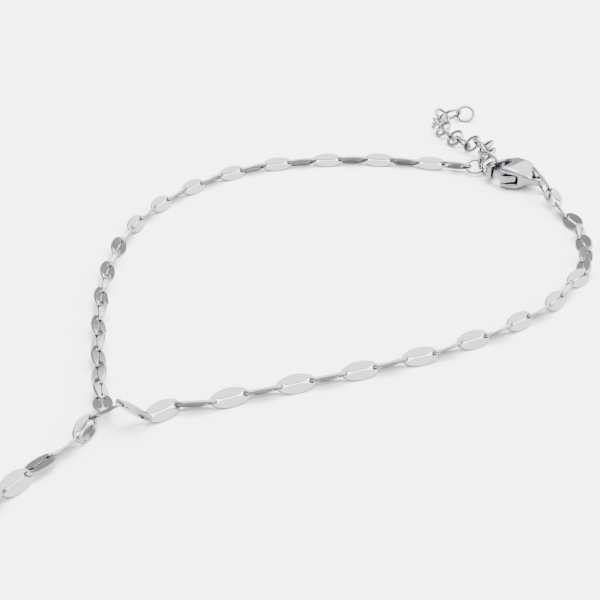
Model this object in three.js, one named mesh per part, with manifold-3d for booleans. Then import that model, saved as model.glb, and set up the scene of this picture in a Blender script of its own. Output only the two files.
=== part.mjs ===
// Hand chain in polished steel, lying on a table.
// A wrist loop of lip chain (oval wire links whose sides are pressed into wide flat lobes) closes
// with a lobster clasp, a small ring and a short extender of round rings. A second strand of the
// same chain runs from a junction link to a plain finger ring.
// Millimetres, +Z up, X to the right and Y away from the viewer.

import * as THREE from 'three';
import { mergeVertices } from 'three/addons/utils/BufferGeometryUtils.js';
import Module from 'manifold-3d';

const wasm = await Module();
wasm.setup();

// Chain link
const WIRE = 0.38;
const LINK_LENGTH = 3.94;
const LINK_WIDTH = 1.88;
const LOBE_THICKNESS = 0.28;
const SLOT_WIDTH = 0.12;
const EYE_WIDTH = 0.54;
const END_EYE_WIDTH = 0.9;

// Numbers of links and rings
const LEFT_LINKS = 29;
const RIGHT_LINKS = 25;
const FINGER_LINKS = 22;
const EXTENDER_RINGS = 14;

// Round rings: outer diameter and wire
const END_RING = { outer: 2.5, wire: 0.38 };
const CLASP_RING = { outer: 3.2, wire: 0.4 };
const JUMP_RING = { outer: 4.3, wire: 0.42 };
const EXTENDER_RING = { outer: 2.6, wire: 0.42 };
const RING_STEPS = 12;
const RING_SIDES = 6;
const EXTENDER_SIDES = 5;
const EXTENDER_STEPS = 10;

// Clasp
const CLASP_LENGTH = 8.2;
const CLASP_WIDTH = 4.8;
const CLASP_THICKNESS = 2.8;
const CLASP_CHAMFER = 0.3;
const NOSE_WALL = 0.8;
const HOOK_MOUTH = 2.4;
const GATE_START = 1.95;
const GATE_END = 3.35;
const CLASP_EYE_HOLE = 1.2;
const CLASP_EYE_RIM = 0.4;
const LEVER_THICKNESS = 0.8;
const LEVER_BOSS = 0.55;
const PIN_RADIUS = 0.28;
const PIVOT = { along: 4.75, side: -1.05 };
const NUB_OUT = 0.25;

// Finger ring, lying on its side
const FINGER_BORE = 17;
const BAND_THICKNESS = 1.3;
const BAND_HEIGHT = 2.2;
const BAND_STEPS = 24;
const EYELET = { outer: 2.2, wire: 0.36 };

// Fits: how deep neighbouring links sink together, and the air between separate pieces
const FUSE = 0.06;
const EXTENDER_FUSE = 0.09;
const GAP = 0.12;

// How the pieces lie
const LEAN = 45;
const RIGHT_LEANS = [42, -48];
const CLASP_AT = [5.55, 9.67];
const CLASP_TURN = -42;
const JUNCTION_AT = [-6.62, -9.57];
const JUNCTION_LIFT = 0.85;
const JUNCTION_TURN = -6;
const JUNCTION_RISE = 32;
const JUNCTION_LEAN = 20;

const REACH = LINK_LENGTH - WIRE;
const PITCH = REACH - WIRE + FUSE;
const LINK_AXIS = (LINK_WIDTH / 2) * Math.sin(THREE.MathUtils.degToRad(LEAN));
const RIGHT_AXIS = (LINK_WIDTH / 2) * Math.sin(THREE.MathUtils.degToRad(-RIGHT_LEANS[1]));

// Routes of the chain on the table, in link pitches
const LEFT_ROUTE = [
  [-7.01, -8.06], [-7.24, -6.4], [-7.5, -4.43], [-7.72, -2.35], [-7.82, -0.45], [-7.72, 1.56],
  [-7.39, 3.91], [-6.68, 5.79], [-5.66, 7.4], [-4.44, 9], [-2.78, 10.09], [-0.86, 10.58],
  [1.19, 10.85], [3.33, 10.46],
];
const RIGHT_ROUTE = [
  [-5.6, -9.33], [-5.17, -9.04], [-3.37, -8.23], [-1.54, -7.39], [0.27, -6.53], [2.04, -5.58],
  [3.65, -4.5], [5.09, -3.29], [6.38, -1.82], [7.57, 0.29], [8.05, 2.07], [8.12, 4.13], [7.75, 5.93],
];
const FINGER_ROUTE = [
  [-7.27, -10.68], [-7.78, -11.46], [-8.3, -12.4], [-8.8, -13.35], [-9.5, -15.2], [-10.1, -18],
  [-10.4, -21], [-10.6, -24], [-10.6, -27], [-10.5, -31], [-10.4, -36],
];
const EXTENDER_ROUTE = [
  [5.6, 11.6, 1.9], [4.9, 12.5, 0.94], [4.3, 13.7, 0.94], [4.05, 14.9, 0.94],
  [4.2, 15.9, 0.94], [4.73, 16.28, 0.94], [5.3, 16.15, 0.94], [7, 16.1, 0.94],
];

// Shape of a link, a row for each station from its end to its middle. The outer and inner edges are
// shares of the half length and half width, and of the half length of the hole; eye and slot give
// the hole's half width there, and thick its section
const LINK_FORM = [
  { outAlong: 1, outSide: 0.34, inAlong: 1, eye: 1, slot: 0, thick: 1 },
  { outAlong: 0.62, outSide: 0.78, inAlong: 0.53, eye: 0, slot: 1, thick: 0.95 },
  { outAlong: 0, outSide: 1, inAlong: 0, eye: 0, slot: 1, thick: 0.8 },
];
const END_FORM = [
  { outAlong: 1, outSide: 0.42, inAlong: 1, eye: 1, slot: 0, thick: 1 },
  { outAlong: 0.72, outSide: 0.72, inAlong: 0.64, eye: 1, slot: 0, thick: 1 },
  { outAlong: 0.42, outSide: 0.93, inAlong: 0.38, eye: 0, slot: 1, thick: 0.9 },
  { outAlong: 0, outSide: 1, inAlong: 0, eye: 0, slot: 1, thick: 0.8 },
];
const JUNCTION_FORM = [
  { outAlong: 1, outSide: 0.58, inAlong: 1, eye: 1.2, slot: 0, thick: 1 },
  { outAlong: 0.7, outSide: 0.86, inAlong: 0.72, eye: 1.55, slot: 0, thick: 1 },
  { outAlong: 0, outSide: 1, inAlong: 0, eye: 1.55, slot: 0, thick: 0.85 },
];

// Clasp seen from above, as shares of its length and half width: its back and its front edge
const CLASP_BACK = [
  [0, 0], [0.03, 0.42], [0.13, 0.8], [0.29, 0.98], [0.46, 0.99], [0.62, 0.84], [0.74, 0.6], [0.81, 0.42],
];
const CLASP_FRONT = [
  [0.81, -0.42], [0.72, -0.68], [0.6, -0.88], [0.45, -0.98], [0.29, -0.97], [0.13, -0.8], [0.03, -0.42],
];
// Clasp seen from the side: half thickness along its length, as shares
const CLASP_PROFILE = [
  [-0.01, 0.42], [0.1, 0.46], [0.22, 0.72], [0.36, 0.98], [0.52, 1], [0.66, 0.84], [0.78, 0.42],
  [0.84, 0.36], [1.01, 0.36],
];

const steel = new THREE.MeshStandardMaterial({ color: 0xd5d7d9, roughness: 0.16, metalness: 1 });
const ringSteel = new THREE.MeshStandardMaterial({ color: 0xc8cacc, roughness: 0.22, metalness: 1 });

const degrees = THREE.MathUtils.degToRad;
const vector = (x, y, z) => new THREE.Vector3(x, y, z);
const onTable = ([x, y], z = LINK_AXIS) => vector(x * PITCH, y * PITCH, z);

// A closed body through sections that follow each other round a loop
function loopSolid(sections) {
  const sides = sections[0].length;
  const positions = sections.flat().flatMap((point) => [point.x, point.y, point.z]);
  const index = [];
  for (let i = 0; i < sections.length; i += 1) {
    const next = (i + 1) % sections.length;
    for (let j = 0; j < sides; j += 1) {
      const over = (j + 1) % sides;
      const [a, b, c, d] = [i * sides + j, next * sides + j, next * sides + over, i * sides + over];
      index.push(a, b, c, a, c, d);
    }
  }
  const geometry = new THREE.BufferGeometry();
  geometry.setAttribute('position', new THREE.Float32BufferAttribute(positions, 3));
  geometry.setIndex(index);
  return geometry;
}

// A link in its own frame: X along it, Y across it and Z out of its face
function linkSolid(form, eyeWidth) {
  const holeLength = LINK_LENGTH / 2 - WIRE;
  const quarter = form.map((row) => ({
    out: [row.outAlong * LINK_LENGTH / 2, row.outSide * LINK_WIDTH / 2],
    in: [row.inAlong * holeLength, row.eye * eyeWidth / 2 + row.slot * SLOT_WIDTH / 2],
    half: THREE.MathUtils.lerp(LOBE_THICKNESS, WIRE * 0.9, row.eye > 0 ? 1 : 0) * row.thick / 2,
  }));
  const middle = quarter.length - 1;
  const around = [];
  quarter.forEach((station) => around.push({ station, x: 1, y: 1 }));
  quarter.slice(0, middle).reverse().forEach((station) => around.push({ station, x: -1, y: 1 }));
  quarter.forEach((station) => around.push({ station, x: -1, y: -1 }));
  quarter.slice(0, middle).reverse().forEach((station) => around.push({ station, x: 1, y: -1 }));
  const sections = around.map(({ station, x, y }) => {
    const outer = vector(station.out[0] * x, station.out[1] * y, 0);
    const inner = vector(station.in[0] * x, station.in[1] * y, 0);
    const up = vector(0, 0, station.half);
    const nearOuter = outer.clone().lerp(inner, 0.25);
    const nearInner = outer.clone().lerp(inner, 0.75);
    return [
      outer, nearOuter.clone().add(up), nearInner.clone().add(up),
      inner, nearInner.clone().sub(up), nearOuter.clone().sub(up),
    ];
  });
  return loopSolid(sections);
}

// A round ring in its own frame: its axis along Z
function ringSolid({ outer, wire }, steps = RING_STEPS, sides = RING_SIDES) {
  const radius = (outer - wire) / 2;
  const sections = [];
  for (let i = 0; i < steps; i += 1) {
    const turn = (i / steps) * 2 * Math.PI;
    const out = vector(Math.cos(turn), Math.sin(turn), 0);
    const section = [];
    for (let j = 0; j < sides; j += 1) {
      const angle = (j / sides) * 2 * Math.PI;
      const point = out.clone().multiplyScalar(radius + (wire / 2) * Math.cos(angle));
      section.push(point.setZ((wire / 2) * Math.sin(angle)));
    }
    sections.push(section);
  }
  return loopSolid(sections);
}

function toManifold(geometry) {
  const bare = geometry.clone();
  bare.deleteAttribute('normal');
  bare.deleteAttribute('uv');
  const merged = mergeVertices(bare, 1e-5);
  const solid = new wasm.Manifold(new wasm.Mesh({
    numProp: 3,
    vertProperties: new Float32Array(merged.attributes.position.array),
    triVerts: new Uint32Array(merged.index.array),
  }));
  return solid;
}

function toGeometry(solid) {
  const mesh = solid.getMesh();
  const geometry = new THREE.BufferGeometry();
  geometry.setAttribute('position', new THREE.BufferAttribute(mesh.vertProperties, 3));
  geometry.setIndex(new THREE.BufferAttribute(mesh.triVerts, 1));
  geometry.computeVertexNormals();
  return geometry;
}

// The frame of a piece whose X is along a direction and whose face leans sideways by a roll
function leaningFrame(centre, along, roll) {
  const x = along.clone().normalize();
  const side = vector(-x.y, x.x, 0).normalize();
  const top = x.clone().cross(side);
  const z = top.clone().multiplyScalar(Math.cos(degrees(roll)));
  z.addScaledVector(side, Math.sin(degrees(roll)));
  const y = z.clone().cross(x);
  return new THREE.Matrix4().makeBasis(x, y, z).setPosition(centre);
}

// Lays a strand of links along its route between two fixed ends. It starts evenly along the route,
// then each link pulls or pushes its two ends on the table until it has its own length
function settle(route, links, start, end) {
  const path = [start, ...route, end];
  const reached = [0];
  for (let i = 1; i < path.length; i += 1) {
    reached.push(reached[i - 1] + path[i].distanceTo(path[i - 1]));
  }
  const spans = Array(links).fill(PITCH);
  spans[links - 1] = REACH;
  const total = spans.reduce((sum, span) => sum + span, 0);
  const joints = [];
  let travelled = 0;
  for (let i = 0; i <= links; i += 1) {
    const wanted = (travelled / total) * reached[reached.length - 1];
    let leg = 1;
    while (leg < path.length - 1 && reached[leg] < wanted) leg += 1;
    const share = (wanted - reached[leg - 1]) / (reached[leg] - reached[leg - 1]);
    joints.push(path[leg - 1].clone().lerp(path[leg], share));
    travelled += spans[i] ?? 0;
  }
  for (let round = 0; round < 3000; round += 1) {
    for (let i = 0; i < links; i += 1) {
      const [a, b] = [joints[i], joints[i + 1]];
      const rise = b.z - a.z;
      const level = Math.sqrt(spans[i] * spans[i] - rise * rise);
      const run = Math.hypot(b.x - a.x, b.y - a.y);
      const move = (run - level) / run;
      const [shareA, shareB] = [i === 0 ? 0 : 1, i === links - 1 ? 0 : 1];
      const each = move / (shareA + shareB);
      const [dx, dy] = [(b.x - a.x) * each, (b.y - a.y) * each];
      a.x += dx * shareA;
      a.y += dy * shareA;
      b.x -= dx * shareB;
      b.y -= dy * shareB;
    }
  }
  return joints;
}

// Follows a route from its start with links or rings of one pitch and no fixed end
function follow(path, pieces, pitch) {
  const joints = [path[0].clone()];
  let leg = 1;
  let share = 0;
  for (let i = 0; i < pieces; i += 1) {
    const from = joints[i];
    const point = path[leg - 1].clone().lerp(path[leg], share);
    while (point.distanceTo(from) < pitch) {
      share += 0.002;
      if (share >= 1) {
        share = 0;
        leg = Math.min(leg + 1, path.length - 1);
      }
      point.copy(path[leg - 1]).lerp(path[leg], share);
    }
    const along = point.sub(from).setLength(pitch);
    joints.push(from.clone().add(along));
  }
  return joints;
}

// The links of a strand as one body. Even and odd links lean to the two sides of the way that the
// strand runs, apart from the few whose rolls are given by their numbers
function strandSolid(joints, leans, rolls, extra = []) {
  const links = joints.length - 1;
  let body = null;
  for (let i = 0; i < links; i += 1) {
    const along = joints[i + 1].clone().sub(joints[i]).normalize();
    const centre = joints[i].clone().addScaledVector(along, REACH / 2);
    const atEnd = i === 0 || i === links - 1;
    const roll = rolls[i] ?? leans[i % 2];
    const link = atEnd ? linkSolid(END_FORM, END_EYE_WIDTH) : linkSolid(LINK_FORM, EYE_WIDTH);
    const solid = toManifold(link.applyMatrix4(leaningFrame(centre, along, roll)));
    body = body ? body.add(solid) : solid;
  }
  extra.forEach((geometry) => { body = body.add(toManifold(geometry)); });
  return toGeometry(body);
}

const part = new THREE.Group();
function place(name, geometry, material, parent = part) {
  const mesh = new THREE.Mesh(geometry, material);
  mesh.name = name;
  parent.add(mesh);
  return mesh;
}

// Clasp, with its nose at the origin of its own group, its length along X and its gate at -Y
const claspMiddle = CLASP_THICKNESS / 2;
const eyeAlong = CLASP_LENGTH - CLASP_EYE_HOLE / 2 - CLASP_EYE_RIM;
const eyeRadius = CLASP_EYE_HOLE / 2 + CLASP_EYE_RIM;
const gateOpening = { from: GATE_START, to: GATE_END };
const mouthCentre = NOSE_WALL + HOOK_MOUTH / 2;

const planPoint = ([along, side]) => new THREE.Vector2(along * CLASP_LENGTH, side * CLASP_WIDTH / 2);

function claspOutline() {
  const back = new THREE.SplineCurve(CLASP_BACK.map(planPoint)).getPoints(12);
  const front = new THREE.SplineCurve([...CLASP_FRONT, CLASP_BACK[0]].map(planPoint)).getPoints(12);
  const eye = new THREE.EllipseCurve(
    eyeAlong, 0, eyeRadius, eyeRadius, degrees(110), degrees(-110), true,
  ).getPoints(10);
  return [...back, ...eye, ...front.slice(0, -1)];
}

function extruded(shape, depth, segments = 12) {
  const geometry = new THREE.ExtrudeGeometry(shape, { depth, bevelEnabled: false, curveSegments: segments });
  return geometry.translate(0, 0, -depth / 2);
}

function boxSolid(x0, x1, y0, y1, z0, z1) {
  const box = new THREE.BoxGeometry(x1 - x0, y1 - y0, z1 - z0);
  return toManifold(box.translate((x0 + x1) / 2, (y0 + y1) / 2, (z0 + z1) / 2));
}

function roundSolid(along, side, radius, height, sides) {
  const round = new THREE.CylinderGeometry(radius, radius, height, sides);
  return toManifold(round.rotateX(Math.PI / 2).translate(along, side, 0));
}

function claspBody() {
  const slab = new THREE.ExtrudeGeometry(new THREE.Shape(claspOutline()), {
    depth: CLASP_THICKNESS - 2 * CLASP_CHAMFER,
    bevelThickness: CLASP_CHAMFER,
    bevelSize: CLASP_CHAMFER,
    bevelOffset: -CLASP_CHAMFER,
    bevelSegments: 1,
  }).translate(0, 0, CLASP_CHAMFER - claspMiddle);
  const upper = CLASP_PROFILE.map(([x, z]) => new THREE.Vector2(x * CLASP_LENGTH, z * claspMiddle));
  const lower = CLASP_PROFILE.map(([x, z]) => new THREE.Vector2(x * CLASP_LENGTH, -z * claspMiddle));
  const side = extruded(new THREE.Shape([...upper, ...lower.reverse()]), 2 * CLASP_WIDTH);
  side.rotateX(Math.PI / 2);
  const slotHalf = LEVER_THICKNESS / 2 + GAP;
  const slotFloor = PIVOT.side + LEVER_BOSS + 2 * GAP;
  const slotEnd = PIVOT.along + LEVER_BOSS + 2 * GAP;
  const gate = boxSolid(gateOpening.from, gateOpening.to, -CLASP_WIDTH, -0.3, -claspMiddle, claspMiddle);
  const slot = boxSolid(mouthCentre, slotEnd, -CLASP_WIDTH, slotFloor, -slotHalf, slotHalf);
  return toManifold(slab)
    .intersect(toManifold(side))
    .subtract(roundSolid(mouthCentre, 0, HOOK_MOUTH / 2, 2 * CLASP_THICKNESS, 16))
    .subtract(roundSolid(eyeAlong, 0, CLASP_EYE_HOLE / 2, 2 * CLASP_THICKNESS, 14))
    .subtract(gate)
    .subtract(slot)
    .add(roundSolid(PIVOT.along, PIVOT.side, PIN_RADIUS, 2 * slotHalf + GAP, 10));
}

function leverSolid() {
  const tip = GATE_START + 1.5 * GAP;
  const edge = -CLASP_WIDTH / 2;
  const outline = [
    [tip, edge + 1], [tip, edge + 0.45], [GATE_END, edge + 0.3], [GATE_END + 0.35, edge - NUB_OUT],
    [GATE_END + 0.95, edge - NUB_OUT], [PIVOT.along, edge + 0.5],
    [PIVOT.along + LEVER_BOSS * 0.7, PIVOT.side - LEVER_BOSS * 0.7],
    [PIVOT.along + LEVER_BOSS, PIVOT.side],
    [PIVOT.along + LEVER_BOSS * 0.7, PIVOT.side + LEVER_BOSS * 0.7],
    [PIVOT.along, PIVOT.side + LEVER_BOSS],
    [PIVOT.along - LEVER_BOSS * 0.8, PIVOT.side + LEVER_BOSS * 0.8], [GATE_END, edge + 1.25],
  ];
  const plan = new THREE.Shape(outline.map(([x, y]) => new THREE.Vector2(x, y)));
  const body = toManifold(extruded(plan, LEVER_THICKNESS));
  const bore = roundSolid(PIVOT.along, PIVOT.side, PIN_RADIUS + GAP, 2 * LEVER_THICKNESS, 12);
  return body.subtract(bore);
}

const clasp = new THREE.Group();
clasp.position.copy(onTable(CLASP_AT, claspMiddle));
clasp.rotation.z = degrees(CLASP_TURN);
part.add(clasp);
place('clasp_body', toGeometry(claspBody()), ringSteel, clasp);
place('clasp_lever', toGeometry(leverSolid()), ringSteel, clasp);
clasp.updateMatrix();
const fromClasp = (x, y, z) => vector(x, y, z).applyMatrix4(clasp.matrix);
const claspAcross = vector(0, 1, 0).transformDirection(clasp.matrix);
const claspAlong = vector(1, 0, 0).transformDirection(clasp.matrix);

// Ring that the clasp hooks: it stands round the clasp's nose with its face along the clasp
const claspRingRadius = (CLASP_RING.outer - CLASP_RING.wire) / 2;
const claspRingCentre = fromClasp(0, 0, 0).setZ(CLASP_RING.outer / 2);
const claspRingFrame = new THREE.Matrix4()
  .makeBasis(claspAlong, vector(0, 0, 1), claspAlong.clone().cross(vector(0, 0, 1)))
  .setPosition(claspRingCentre);
place('clasp_ring', ringSolid(CLASP_RING).applyMatrix4(claspRingFrame), ringSteel);

// End ring of the left strand, hanging on the clasp ring and leaning to the front
const endRingRadius = (END_RING.outer - END_RING.wire) / 2;
const endRingTop = vector(-0.1, -0.45, 0.9).normalize();
const endRingTowards = vector(0.93, -0.37, 0).projectOnPlane(endRingTop).normalize();
const endRingHang = claspRingCentre.clone()
  .addScaledVector(claspAlong, -0.5 * claspRingRadius)
  .add(vector(0, 0, -0.5 * claspRingRadius));
const endRingCentre = endRingHang.clone().addScaledVector(endRingTowards, -endRingRadius);
const endRingFrame = new THREE.Matrix4()
  .makeBasis(endRingTowards, endRingTop.clone().cross(endRingTowards), endRingTop)
  .setPosition(endRingCentre);
place('end_ring', ringSolid(END_RING).applyMatrix4(endRingFrame), ringSteel);

// Jump ring through the clasp's eye: it stands on the table, a little aslant
const jumpRingRadius = (JUMP_RING.outer - JUMP_RING.wire) / 2;
const jumpRingAway = vector(0.3, -1, 0).normalize();
const jumpRingRise = vector(-0.5, 0, 0.85).projectOnPlane(jumpRingAway).normalize();
const jumpRingHeight = jumpRingRadius * jumpRingRise.z + JUMP_RING.wire / 2;
const jumpRingDrop = (jumpRingHeight - claspMiddle) / jumpRingRise.z;
const jumpRingOut = Math.sqrt(jumpRingRadius ** 2 - jumpRingDrop ** 2);
const jumpRingCentre = fromClasp(eyeAlong, 0, 0)
  .addScaledVector(jumpRingAway, jumpRingOut)
  .addScaledVector(jumpRingRise, jumpRingDrop);
const jumpRingFrame = new THREE.Matrix4()
  .makeBasis(jumpRingAway, jumpRingRise, jumpRingAway.clone().cross(jumpRingRise))
  .setPosition(jumpRingCentre);
place('clasp_jump_ring', ringSolid(JUMP_RING).applyMatrix4(jumpRingFrame), ringSteel);

// Junction link, whose two eyes hold the three strands
const junctionLevel = Math.cos(degrees(JUNCTION_RISE));
const junctionAlong = vector(
  Math.cos(degrees(JUNCTION_TURN)) * junctionLevel,
  Math.sin(degrees(JUNCTION_TURN)) * junctionLevel,
  Math.sin(degrees(JUNCTION_RISE)),
);
const junctionCentre = onTable(JUNCTION_AT, LINK_AXIS + JUNCTION_LIFT);
const junctionFrame = leaningFrame(junctionCentre, junctionAlong, JUNCTION_LEAN);
const inJunction = (x, y) => vector(x, y, 0).applyMatrix4(junctionFrame);
const hungBar = REACH / 2 - WIRE - GAP;
const junctionLink = linkSolid(JUNCTION_FORM, END_EYE_WIDTH).applyMatrix4(junctionFrame);

// Left strand with the junction link, from the junction round the far side to the end ring
const leftStart = inJunction(-hungBar + 2 * WIRE + 2 * GAP, END_EYE_WIDTH * 0.3);
const endRingGrip = endRingRadius - (END_RING.wire + WIRE) / 2 - GAP;
const endRingAway = vector(-1, 0.1, 0).projectOnPlane(endRingTop).normalize();
const leftEnd = endRingCentre.clone().addScaledVector(endRingAway, endRingGrip);
const leftJoints = settle(LEFT_ROUTE.map((point) => onTable(point)), LEFT_LINKS, leftStart, leftEnd);
place('left_strand', strandSolid(leftJoints, [LEAN, -LEAN], { 0: 4 }, [junctionLink]), steel);

// Right strand, from the junction along the front and round the right side to the jump ring
const rightHang = vector(0.7, 0.3, -0.65);
const rightStart = inJunction(REACH / 2, 0).addScaledVector(rightHang, -WIRE - GAP);
const jumpRingGrip = jumpRingRadius - (JUMP_RING.wire + WIRE) / 2 - GAP;
const rightEnd = jumpRingCentre.clone()
  .addScaledVector(jumpRingAway, jumpRingGrip * Math.cos(degrees(20)))
  .addScaledVector(jumpRingRise, -jumpRingGrip * Math.sin(degrees(20)));
const rightJoints = settle(RIGHT_ROUTE.map((point) => onTable(point, RIGHT_AXIS)), RIGHT_LINKS, rightStart, rightEnd);
place('right_strand', strandSolid(rightJoints, RIGHT_LEANS, { 0: 36, 23: -48, 24: 22 }), steel);

// Finger strand, from the junction to the finger ring
const fingerStart = inJunction(-hungBar, -END_EYE_WIDTH * 0.12);
const fingerPath = [fingerStart, ...FINGER_ROUTE.map((point) => onTable(point))];
const fingerJoints = follow(fingerPath, FINGER_LINKS, PITCH);
place('finger_strand', strandSolid(fingerJoints, [-LEAN, LEAN], { 0: 45, 1: -45, 2: -5, 21: 0 }), steel);

// Finger ring on its side, with the soldered eyelet that the strand ends in
const lastJoint = fingerJoints[FINGER_LINKS - 1];
const fingerAlong = fingerJoints[FINGER_LINKS].clone().sub(lastJoint).setZ(0).normalize();
const eyeletGrip = (EYELET.outer - EYELET.wire) / 2 - (EYELET.wire + WIRE) / 2 - GAP;
const eyeletCentre = lastJoint.clone()
  .addScaledVector(fingerAlong, REACH + eyeletGrip)
  .setZ(BAND_HEIGHT / 2);
const eyeletFrame = new THREE.Matrix4()
  .makeBasis(fingerAlong, vector(0, 0, 1), fingerAlong.clone().cross(vector(0, 0, 1)))
  .setPosition(eyeletCentre);
const bandRadius = FINGER_BORE / 2;
const bandCentre = eyeletCentre.clone()
  .addScaledVector(fingerAlong, EYELET.outer / 2 + bandRadius + BAND_THICKNESS - EYELET.wire);

function bandSolid() {
  const sections = [];
  const profile = [
    [0, 0], [BAND_THICKNESS * 0.6, 0], [BAND_THICKNESS, BAND_HEIGHT * 0.25],
    [BAND_THICKNESS, BAND_HEIGHT * 0.75], [BAND_THICKNESS * 0.6, BAND_HEIGHT], [0, BAND_HEIGHT],
  ];
  for (let i = 0; i < BAND_STEPS; i += 1) {
    const turn = ((i + 0.5) / BAND_STEPS) * 2 * Math.PI;
    sections.push(profile.map(([out, up]) => vector(
      (bandRadius + out) * Math.cos(turn), (bandRadius + out) * Math.sin(turn), up,
    )));
  }
  return loopSolid(sections).translate(bandCentre.x, bandCentre.y, 0);
}
const eyelet = toManifold(ringSolid(EYELET).applyMatrix4(eyeletFrame));
place('finger_ring', toGeometry(toManifold(bandSolid()).add(eyelet)), ringSteel);

// Extender of small round rings, from the top of the clasp ring down to the table behind it
const extenderPitch = EXTENDER_RING.outer - 2 * EXTENDER_RING.wire + EXTENDER_FUSE;
const extenderRadius = (EXTENDER_RING.outer - EXTENDER_RING.wire) / 2;
const extenderStart = claspRingCentre.clone().add(
  vector(0, 0, claspRingRadius - (CLASP_RING.wire + EXTENDER_RING.wire) / 2 - GAP),
);
const extenderPath = [extenderStart, ...EXTENDER_ROUTE.map(([x, y, z]) => onTable([x, y], z))];
const extenderJoints = follow(extenderPath, EXTENDER_RINGS, extenderPitch);
function extenderSolid() {
  let body = null;
  for (let i = 0; i < EXTENDER_RINGS; i += 1) {
    const along = extenderJoints[i + 1].clone().sub(extenderJoints[i]).normalize();
    const centre = extenderJoints[i].clone().addScaledVector(along, extenderRadius);
    const roll = i % 2 === 0 ? 90 - LEAN : -LEAN;
    const ring = ringSolid(EXTENDER_RING, EXTENDER_STEPS, EXTENDER_SIDES);
    const solid = toManifold(ring.applyMatrix4(leaningFrame(centre, along, roll)));
    body = body ? body.add(solid) : solid;
  }
  return toGeometry(body);
}
place('extender_chain', extenderSolid(), steel);

// The part's origin is under the middle of its box, on the table
part.updateMatrixWorld(true);
const box = new THREE.Box3().setFromObject(part, true);
const middle = box.getCenter(vector(0, 0, 0));
part.position.set(-middle.x, -middle.y, -box.min.z);

export default part;
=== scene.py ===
"""Hand chain in polished stainless steel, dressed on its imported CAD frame.

A wrist loop of lip chain closes with a lobster clasp, a clasp ring and a short extender of round
rings. A second strand of the same chain runs from a junction link to a plain finger ring. Sizes
are in millimetres until a mesh is placed, and every finished mesh is in metres in the row frame.
"""

import logging
import math
from collections.abc import Iterable
from dataclasses import dataclass, field
from enum import Enum

import bmesh
import bpy
from mathutils import Matrix, Vector


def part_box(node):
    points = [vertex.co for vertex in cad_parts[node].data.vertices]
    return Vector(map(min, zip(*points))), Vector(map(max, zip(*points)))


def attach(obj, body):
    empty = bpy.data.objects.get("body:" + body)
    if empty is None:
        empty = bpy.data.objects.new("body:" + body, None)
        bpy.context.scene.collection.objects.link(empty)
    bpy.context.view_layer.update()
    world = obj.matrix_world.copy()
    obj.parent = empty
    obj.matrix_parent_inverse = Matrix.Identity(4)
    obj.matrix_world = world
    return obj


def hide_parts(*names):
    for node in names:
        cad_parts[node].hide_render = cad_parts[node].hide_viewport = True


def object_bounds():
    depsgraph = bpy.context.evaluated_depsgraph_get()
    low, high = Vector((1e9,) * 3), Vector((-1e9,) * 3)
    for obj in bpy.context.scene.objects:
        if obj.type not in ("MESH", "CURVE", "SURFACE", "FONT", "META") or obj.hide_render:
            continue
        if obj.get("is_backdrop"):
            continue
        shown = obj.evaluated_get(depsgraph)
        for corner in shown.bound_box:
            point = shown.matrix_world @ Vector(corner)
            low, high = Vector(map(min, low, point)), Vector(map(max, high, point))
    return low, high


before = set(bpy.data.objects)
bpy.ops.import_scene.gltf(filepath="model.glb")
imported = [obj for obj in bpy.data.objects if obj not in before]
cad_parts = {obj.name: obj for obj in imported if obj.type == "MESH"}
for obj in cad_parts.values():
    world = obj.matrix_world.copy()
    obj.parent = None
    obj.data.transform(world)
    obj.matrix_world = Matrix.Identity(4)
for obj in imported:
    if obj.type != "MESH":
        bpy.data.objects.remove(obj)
LOG = logging.getLogger("hand_chain")
MM = 0.001
ROOT_BODY = "hand_chain"
LEVER_BODY = "lever"
UP = Vector((0, 0, 1))

# Edges flatter than these angles, in degrees, are shaded smooth
SOFT_EDGE = 42.0
BAND_EDGE = 60.0
EVERY_EDGE = 180.0

# Points nearer to each other than these, in millimetres, are merged
SEAM_MERGE = 1e-4
SHELL_MERGE = 2e-3

# A share of a direction smaller than this counts as none
NO_SHARE = 1e-4

# Chain, in millimetres and degrees
WIRE = 0.38
LINK_LENGTH = 3.94
LINK_WIDTH = 1.88
SLOT_WIDTH = 0.12
EYE_WIDTH = 0.54
END_EYE_WIDTH = 0.9
FUSE = 0.06
EXTENDER_FUSE = 0.09
GAP = 0.12
REACH = LINK_LENGTH - WIRE
PITCH = REACH - WIRE + FUSE
LEAN = 45.0
RIGHT_LEANS = (42.0, -48.0)
LINK_AXIS = LINK_WIDTH / 2 * math.sin(math.radians(LEAN))
RIGHT_AXIS = LINK_WIDTH / 2 * math.sin(math.radians(-RIGHT_LEANS[1]))

# Links and rings of each strand
LEFT_LINKS = 29
RIGHT_LINKS = 25
FINGER_LINKS = 22
EXTENDER_RINGS = 14

# Links that lean otherwise than their strand does, by number and degrees
LEFT_ROLLS = {0: 4}
RIGHT_ROLLS = {0: 36, 23: -48, 24: 22}
FINGER_ROLLS = {0: 45, 1: -45, 2: -5, 21: 0}

# Rounds in which a strand settles between its ends, and the step along a leg of a route
SETTLE_ROUNDS = 3000
FOLLOW_STEP = 0.002

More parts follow.
